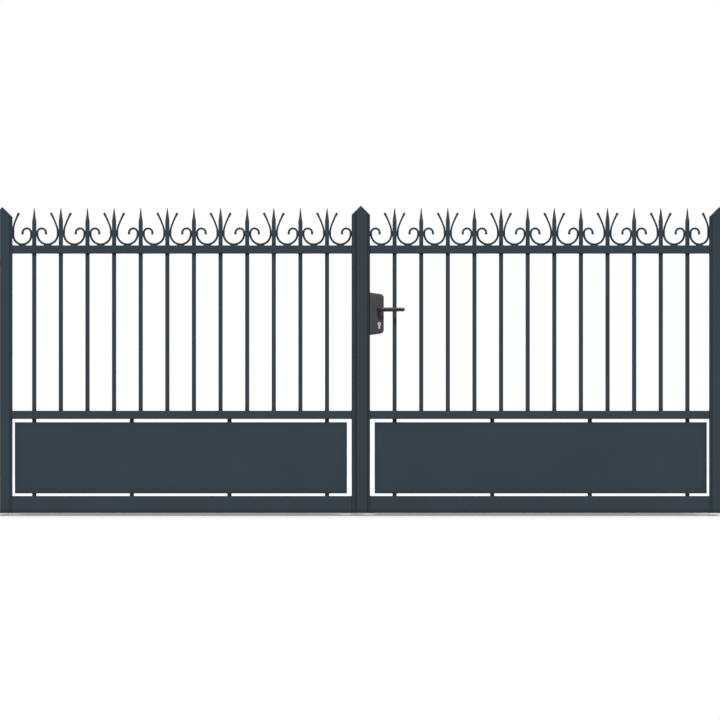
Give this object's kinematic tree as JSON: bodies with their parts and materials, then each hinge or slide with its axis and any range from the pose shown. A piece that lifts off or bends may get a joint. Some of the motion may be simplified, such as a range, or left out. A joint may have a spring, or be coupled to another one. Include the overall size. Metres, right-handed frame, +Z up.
{
  "type": "double swing gate",
  "caption": "Double-leaf steel swing gate with square bars, spear tips and scrolls over the top rail, low infill panels, lever lock and two square posts on base plates.",
  "frame": {"origin": "middle of the underside of the left post's base plate, on the ground", "axes": "+X along the gate from the left post to the right post, +Y through the gate away from the side that the leaves open to, +Z up"},
  "size_m": [3.96, 0.2, 1.55],
  "materials": {
    "powder_coat": "satin anthracite powder coat",
    "hinge_zinc": "bright zinc plating",
    "lock_cover": "fine-grained dark grey cover",
    "lever_grip": "smooth near-black",
    "nickel": "satin nickel"
  },
  "bodies": {
    "posts": {"left_post": "powder_coat", "right_post": "powder_coat", "left_post_cap": "powder_coat", "right_post_cap": "powder_coat", "left_base_plate": "powder_coat", "right_base_plate": "powder_coat", "left_hinge_brackets": "hinge_zinc", "right_hinge_brackets": "hinge_zinc", "left_bracket_bolts": "hinge_zinc", "right_bracket_bolts": "hinge_zinc"},
    "left_leaf": {"left_hinge_stile": "powder_coat", "left_closing_stile": "powder_coat", "left_top_rail": "powder_coat", "left_mid_rail": "powder_coat", "left_bottom_rail": "powder_coat", "left_stile_cover": "powder_coat", "left_bars": "powder_coat", "left_scrolls": "powder_coat", "left_panel": "powder_coat", "left_panel_spacers": "powder_coat", "left_hinge_eyes": "hinge_zinc", "strike_plate": "nickel"},
    "right_leaf": {"right_hinge_stile": "powder_coat", "right_closing_stile": "powder_coat", "right_top_rail": "powder_coat", "right_mid_rail": "powder_coat", "right_bottom_rail": "powder_coat", "right_stile_cover": "powder_coat", "right_bars": "powder_coat", "right_scrolls": "powder_coat", "right_panel": "powder_coat", "right_panel_spacers": "powder_coat", "right_hinge_eyes": "hinge_zinc", "meeting_strip": "powder_coat", "lock_case": "lock_cover", "lock_cover_front": "lock_cover", "lock_cover_back": "lock_cover", "lock_front_plate": "nickel", "key_cylinder": "nickel"},
    "lever": {"lever_spindle": "hinge_zinc", "lever_front": "lever_grip", "lever_back": "lever_grip"}
  },
  "joints": [
    {"name": "left_leaf_swing", "type": "hinge", "parent": "posts", "child": "left_leaf", "pos_m": [0.092, 0, 0.19], "axis": [0, 0, -1], "range_deg": [0, 90]},
    {"name": "right_leaf_swing", "type": "hinge", "parent": "posts", "child": "right_leaf", "pos_m": [3.668, 0, 0.19], "axis": [0, 0, 1], "range_deg": [0, 90]},
    {"name": "lever_turn", "type": "hinge", "parent": "right_leaf", "child": "lever", "pos_m": [1.97, 0, 1.008], "axis": [0, 1, 0], "range_deg": [0, 45], "stiffness_Nm_per_rad": 2.5, "springref_deg": -17.19}
  ]
}
